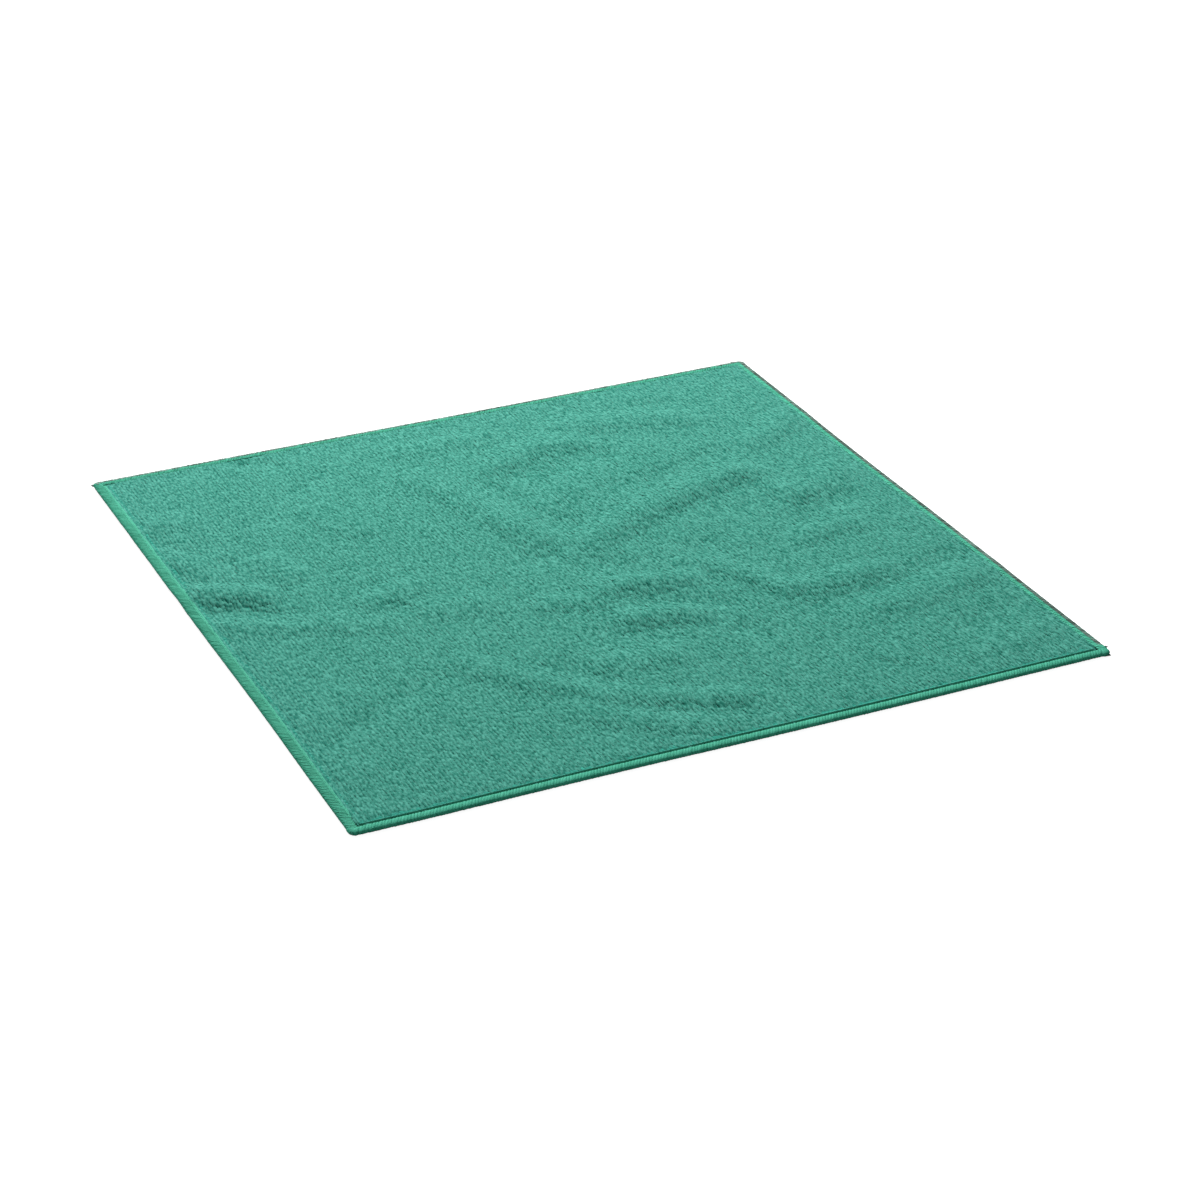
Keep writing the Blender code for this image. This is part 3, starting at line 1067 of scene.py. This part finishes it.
NEEDLE_STITCH = {
    "Height": 0.3 * MM,
    "Stand": 0.05 * MM,
    "Upward Pull": 1000.0,
    "Size Spread": (0.1, 0.05, 0.1),
    "Place Spread": (0.05 * MM, 0.05 * MM, 0.0),
    "Lean Spread": (0.0, 0.0, 0.08),
    "Seed": 77,
    "Material": OVERLOCK_THREAD,
}
NEEDLE_SHAPES = {
    "along_y": {"Width": 0.5 * MM, "Length": 2.5 * MM},
    "along_x": {"Width": 2.5 * MM, "Length": 0.5 * MM},
}
needle_lines = [
    grown(f"needle_line_{name}", mesh, loops, {**NEEDLE_STITCH, **NEEDLE_SHAPES[name]})
    for name, mesh in needle_carriers()
]

# %% [markdown]
# ## Thread ends at the corners
# Where a seam runs off the cloth, the machine leaves a short chain of thread that is cut close.
# On this cloth small dark ends show at three corners. Each is a bunch of a few short strands.
# Curves with a bevel could make them. But a strand is only a short tube that tapers and droops a
# little, so its rings are worked out directly, and a table says where each bunch points.

# %% Thread ends
ThreadEnd = namedtuple("ThreadEnd", "x y z heading length strands")
THREAD_ENDS = (
    ThreadEnd(x=-158.4, y=157.8, z=1.4, heading=165, length=2.6, strands=5),
    ThreadEnd(x=154.6, y=158.6, z=1.7, heading=75, length=2.2, strands=4),
    ThreadEnd(x=157.8, y=-154.8, z=1.8, heading=-5, length=3.2, strands=4),
    ThreadEnd(x=157.0, y=-159.4, z=0.5, heading=0, length=2.9, strands=4),
)
STRAND_SIDES = 6
STRAND_RINGS = 5
STRAND_RADIUS = 0.26
STRAND_TAPER = 0.35  # the share of its radius that a strand loses
STRAND_DROOP = 0.1  # how far its tip hangs down
START_SPREAD = 0.25  # a strand starts up to this far from its bunch's place, each way
HEADING_SPREAD = 12  # degrees
LENGTH_SPREAD = 0.1  # a share of its length


def strand(start, heading, length):
    """Points and faces of one short tube, in mm."""
    along = np.linspace(0, 1, STRAND_RINGS)
    turn = np.linspace(0, 2 * np.pi, STRAND_SIDES, endpoint=False)
    forward = np.array([math.cos(heading), math.sin(heading), 0.0])
    side = np.array([-forward[1], forward[0], 0.0])
    up = np.array([0.0, 0.0, 1.0])
    points = []
    for share in along:
        middle = start + forward * length * share - up * STRAND_DROOP * share**2
        thick = STRAND_RADIUS * (1 - STRAND_TAPER * share**3)
        points += [middle + thick * (math.cos(t) * side + math.sin(t) * up) for t in turn]
    faces = []
    for ring in range(STRAND_RINGS - 1):
        base = ring * STRAND_SIDES
        for step in range(STRAND_SIDES):
            after = (step + 1) % STRAND_SIDES
            near, far = base + step, base + after
            faces.append((near, far, far + STRAND_SIDES, near + STRAND_SIDES))
    faces.append(tuple(range(STRAND_SIDES))[::-1])
    last = (STRAND_RINGS - 1) * STRAND_SIDES
    faces.append(tuple(range(last, last + STRAND_SIDES)))
    return points, faces


def thread_ends_mesh():
    """All the thread ends as one mesh."""
    rng = np.random.default_rng(21)
    points, faces = [], []
    for end in THREAD_ENDS:
        for _ in range(end.strands):
            start = np.array([end.x, end.y, end.z]) + rng.uniform(-START_SPREAD, START_SPREAD, 3)
            heading = math.radians(end.heading + rng.uniform(-HEADING_SPREAD, HEADING_SPREAD))
            length = end.length * rng.uniform(1 - LENGTH_SPREAD, 1 + LENGTH_SPREAD)
            tube, skin = strand(start, heading, length)
            faces += [tuple(corner + len(points) for corner in face) for face in skin]
            points += tube
    mesh = bpy.data.meshes.new("thread_ends")
    mesh.from_pydata([tuple(point * MM) for point in points], [], faces)
    # the same nearly grey thread as the painted shadow line; without a shade attribute the ends
    # take its darkest tone
    mesh.materials.append(LOOPER_THREAD_AND_PAINTED_SHADOW)
    mesh.shade_smooth()
    return mesh


thread_ends = show("thread_ends", thread_ends_mesh())

# %% [markdown]
# ## Tell the frame what the pieces are
# The loops, stitches and thread ends all belong to the one sheet and move with it. The sheet
# stands in for the CAD cloth, which is hidden.

on_the_sheet = [*pile_panels, overlock, painted_shadow_chain, *needle_lines, thread_ends]
for piece in [knit_sheet, *on_the_sheet]:
    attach(piece, "root")
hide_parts("cloth")

# %% [markdown]
# ## The studio
# The photograph was taken on a white sweep with one large soft light behind and above the cloth,
# so slopes that face away from the viewer are bright and the rim nearest to us is dark. A floor
# that is white enough for the picture would throw light back up on that rim. So the floor here
# is grey for the light that bounces off it, and adds a glow that only the camera sees. A sun with
# a wide angle gives an even, soft light, and a large area light near the far edge makes the cloth
# a little brighter there. The world works like the floor: it is white to the camera, and lights
# the cloth with only part of that.

# %% Floor
FLOOR_HALF = 6.0  # m
FLOOR_DROP = 0.2 * MM  # it lies this much lower than the cloth, so the two never share a plane
FLOOR_GLOW = 0.92


def floor_mesh():
    """One large square just under the cloth."""
    mesh = bpy.data.meshes.new("floor")
    corners = [(-1, -1), (1, -1), (1, 1), (-1, 1)]
    points = [(x * FLOOR_HALF, y * FLOOR_HALF, -FLOOR_DROP) for x, y in corners]
    mesh.from_pydata(points, [], [(0, 1, 2, 3)])
    material = bpy.data.materials.new("white sweep")
    material.use_nodes = True
    tree = material.node_tree
    shader = tree.nodes["Principled BSDF"]
    finish = {
        "Base Color": (0.4, 0.4, 0.4, 1),
        "Roughness": 1.0,
        "Specular IOR Level": 0.0,
        "Emission Color": (1, 1, 1, 1),
    }
    set_inputs(shader, finish)
    seen = put(tree, "ShaderNodeLightPath").outputs["Is Camera Ray"]
    glow = math_of(tree, "MULTIPLY", seen, FLOOR_GLOW)
    tree.links.new(glow, shader.inputs["Emission Strength"])
    mesh.materials.append(material)
    return mesh


floor = show("floor", floor_mesh())
floor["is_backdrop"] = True

# %% Light
FILL = 0.28  # the share of the white world that lights the cloth


def new_light(name, kind, place_at, **choices):
    """A light at a place in metres, turned to the middle of the cloth."""
    data = bpy.data.lights.new(name, kind)
    set_all(data, choices)
    light = bpy.data.objects.new(name, data)
    bpy.context.scene.collection.objects.link(light)
    light.location = place_at
    light.rotation_euler = (-light.location).to_track_quat("-Z", "Y").to_euler()
    print(f"{name}: energy {data.energy:.2f}")


new_light("wide sun", "SUN", (0.418, 0.908, 0.8), energy=3.35, angle=math.radians(35))
new_light("soft box", "AREA", (0.05, 0.6, 0.6), energy=11.0, shape="SQUARE", size=0.6)

world = bpy.data.worlds.new("studio")
bpy.context.scene.world = world
world.use_nodes = True
background = world.node_tree.nodes["Background"]
seen = put(world.node_tree, "ShaderNodeLightPath").outputs["Is Camera Ray"]
strength = {"Value": seen, "To Min": FILL, "To Max": 1.0}
strength = output_of(world.node_tree, "ShaderNodeMapRange", strength)
world.node_tree.links.new(strength, background.inputs["Strength"])
background.inputs["Color"].default_value = (1.0, 1.0, 1.0, 1)
bpy.context.scene.view_settings.view_transform = "Standard"

# %% [markdown]
# ## The camera
# A square seen in perspective gives its camera away. A fit to the cloth's outline in the
# photograph finds where the camera stood, how it was turned, and its focal length on a 36 mm
# sensor, and the numbers below are that fit. The camera could be turned by eye as well, but then
# the four sides would never all lie right. Depth of field and shift aren't needed.

# %% Camera
camera_data = bpy.data.cameras.new("camera")
camera_data.lens = 92.66
camera_data.sensor_width = 36.0
camera = bpy.data.objects.new("camera", camera_data)
camera.location = (-0.4713, -1.0449, 0.5864)
camera.rotation_euler = (math.radians(62.291), math.radians(0.11), math.radians(-24.862))
bpy.context.scene.collection.objects.link(camera)
bpy.context.scene.camera = camera

# %% Measure the dressed cloth and finish
visual_low, visual_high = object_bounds()
print("the CAD box and the visual box, in mm:")
for low, high in ((cad_low, cad_high), (visual_low, visual_high)):
    print([round(a / MM, 1) for a in low], [round(a / MM, 1) for a in high])
